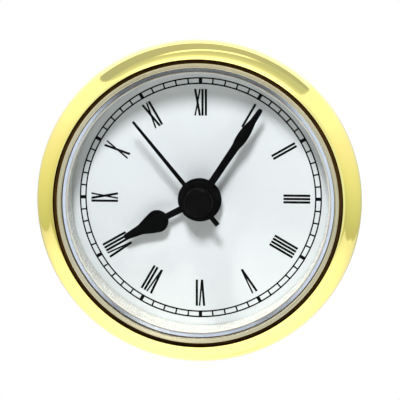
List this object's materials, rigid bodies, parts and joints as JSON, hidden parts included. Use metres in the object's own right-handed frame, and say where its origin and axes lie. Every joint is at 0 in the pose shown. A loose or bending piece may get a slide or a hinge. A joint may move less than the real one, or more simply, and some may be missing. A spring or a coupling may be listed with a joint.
{
  "type": "quartz clock insert",
  "caption": "Round quartz clock insert with a gold bezel, clear crystal, white dial with Roman numerals, black spade hands and a thin cup that presses into a panel hole.",
  "frame": {"origin": "on the axis of the hands, in the plane of the flange that seats on the panel", "axes": "+Y points backwards into the panel, the dial faces -Y, +Z is twelve o'clock, +X is three o'clock"},
  "size_m": [0.07, 0.0239, 0.07],
  "materials": {
    "polished_gold": "polished, gold plated",
    "seal_black": "satin",
    "clear_crystal": "clear, polished",
    "fluted_plastic": "translucent, finely fluted",
    "dial_white": "satin white with black print",
    "hand_black": "semi-matt black",
    "case_metal": "drawn, satin",
    "band_rubber": "matt",
    "plate_plastic": "moulded",
    "wheel_plastic": "moulded, smooth",
    "back_plastic": "fine texture",
    "brass_parts": "turned and stamped",
    "steel_parts": "nickel plated",
    "magnet": "ground",
    "copper_wire": "enamelled wire",
    "board_green": "solder resist",
    "chip_black": "potting resin"
  },
  "bodies": {
    "root": {"back_screw_1": "steel_parts", "back_screw_2": "steel_parts", "back_screw_3": "steel_parts", "battery_cell": "steel_parts", "bezel_ring": "polished_gold", "bridge_screw_1": "steel_parts", "bridge_screw_2": "steel_parts", "bridge_screw_3": "steel_parts", "case_back": "back_plastic", "case_cup": "case_metal", "chip_cover": "chip_black", "circuit_board": "board_green", "coil_bobbin": "plate_plastic", "coil_core": "steel_parts", "coil_screw_1": "steel_parts", "coil_screw_2": "steel_parts", "coil_winding": "copper_wire", "contact_negative": "brass_parts", "contact_positive": "brass_parts", "crystal_gasket": "seal_black", "crystal_lens": "clear_crystal", "dial_plate": "dial_white", "front_plate": "plate_plastic", "grip_band": "band_rubber", "quartz_can": "steel_parts", "reflector_ring": "fluted_plastic", "retaining_ring": "polished_gold", "stator_plate": "steel_parts", "train_bridge": "plate_plastic"},
    "minute_set": {"minute_hand": "hand_black", "minute_pipe": "brass_parts"},
    "hour_set": {"hour_hand": "hand_black", "hour_wheel": "wheel_plastic"},
    "motion_set": {"motion_wheel": "wheel_plastic"},
    "setting_set": {"setting_knob": "back_plastic"},
    "seconds_set": {"second_hand": "hand_black", "second_cap": "hand_black", "seconds_wheel": "wheel_plastic"},
    "third_set": {"third_wheel": "wheel_plastic"},
    "centre_set": {"centre_wheel": "brass_parts"},
    "intermediate_set": {"intermediate_wheel": "wheel_plastic"},
    "rotor_set": {"rotor_pinion": "wheel_plastic", "rotor_magnet": "magnet"},
    "battery_door": {"battery_cover": "back_plastic"}
  },
  "joints": [
    {"name": "minute_hand_turn", "type": "hinge", "parent": "root", "child": "minute_set", "pos_m": [0, 0, 0], "axis": [0, 1, 0], "continuous": true},
    {"name": "hour_hand_turn", "type": "hinge", "parent": "root", "child": "hour_set", "pos_m": [0, 0, 0], "axis": [0, 1, 0], "continuous": true},
    {"name": "motion_wheel_turn", "type": "hinge", "parent": "root", "child": "motion_set", "pos_m": [0.0041, 0, -0.00287], "axis": [0, 1, 0], "continuous": true},
    {"name": "setting_knob_turn", "type": "hinge", "parent": "root", "child": "setting_set", "pos_m": [0.0066, 0, -0.0072], "axis": [0, 1, 0], "continuous": true},
    {"name": "second_hand_turn", "type": "hinge", "parent": "root", "child": "seconds_set", "pos_m": [0, 0, 0], "axis": [0, 1, 0], "continuous": true},
    {"name": "third_wheel_turn", "type": "hinge", "parent": "root", "child": "third_set", "pos_m": [-0.00603, 0, 0.00106], "axis": [0, 1, 0], "continuous": true},
    {"name": "centre_wheel_turn", "type": "hinge", "parent": "root", "child": "centre_set", "pos_m": [0, 0, 0], "axis": [0, 1, 0], "continuous": true},
    {"name": "intermediate_wheel_turn", "type": "hinge", "parent": "root", "child": "intermediate_set", "pos_m": [0.00311, 0, 0.00539], "axis": [0, 1, 0], "continuous": true},
    {"name": "rotor_turn", "type": "hinge", "parent": "root", "child": "rotor_set", "pos_m": [0.00229, 0, 0.01007], "axis": [0, 1, 0], "continuous": true},
    {"name": "battery_cover_turn", "type": "hinge", "parent": "root", "child": "battery_door", "pos_m": [-0.0125, 0, -0.013], "axis": [0, 1, 0], "range_deg": [0, 60]}
  ],
  "couplings": [
    {"joint": "hour_hand_turn", "follows": "minute_hand_turn", "ratio": 0.083333},
    {"joint": "motion_wheel_turn", "follows": "minute_hand_turn", "ratio": -0.33333},
    {"joint": "setting_knob_turn", "follows": "minute_hand_turn", "ratio": 1},
    {"joint": "third_wheel_turn", "follows": "second_hand_turn", "ratio": -0.13333},
    {"joint": "centre_wheel_turn", "follows": "second_hand_turn", "ratio": 0.016667},
    {"joint": "intermediate_wheel_turn", "follows": "second_hand_turn", "ratio": -5},
    {"joint": "rotor_turn", "follows": "second_hand_turn", "ratio": 30}
  ]
}
